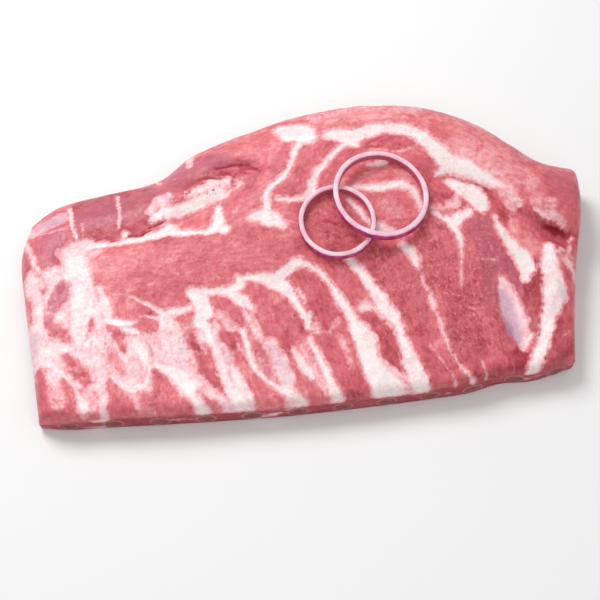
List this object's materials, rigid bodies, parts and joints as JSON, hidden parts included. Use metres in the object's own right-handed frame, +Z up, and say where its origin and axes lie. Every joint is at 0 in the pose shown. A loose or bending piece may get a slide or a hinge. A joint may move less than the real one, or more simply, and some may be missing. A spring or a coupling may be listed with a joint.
{
  "type": "pork spare ribs",
  "caption": "Raw slab of pork spare ribs lying meat side up, thick along the brisket edge, with sawn rib ends along the other edge and red onion rings resting on top.",
  "frame": {"origin": "centre of the slab's footprint, on the surface it lies on", "axes": "+X along the slab from its thin flank end to its shoulder end, +Y from the sawn edge with the rib ends to the thick brisket edge, +Z up through the meat side"},
  "size_m": [0.4234, 0.2474, 0.0568],
  "materials": {
    "meat": "moist raw meat, salmon pink to dark red, with white fat",
    "bone": "sawn bone, pale and slightly moist",
    "onion": "fresh cut red onion, pale pink cut faces and a purple outer skin"
  },
  "bodies": {
    "root": {"meat": "meat", "rib_01": "bone", "rib_02": "bone", "rib_03": "bone", "rib_04": "bone", "rib_05": "bone", "rib_06": "bone", "rib_07": "bone", "rib_08": "bone", "rib_09": "bone", "rib_10": "bone", "rib_11": "bone", "rib_12": "bone", "onion_ring_large": "onion", "onion_ring_small": "onion"}
  },
  "joints": []
}
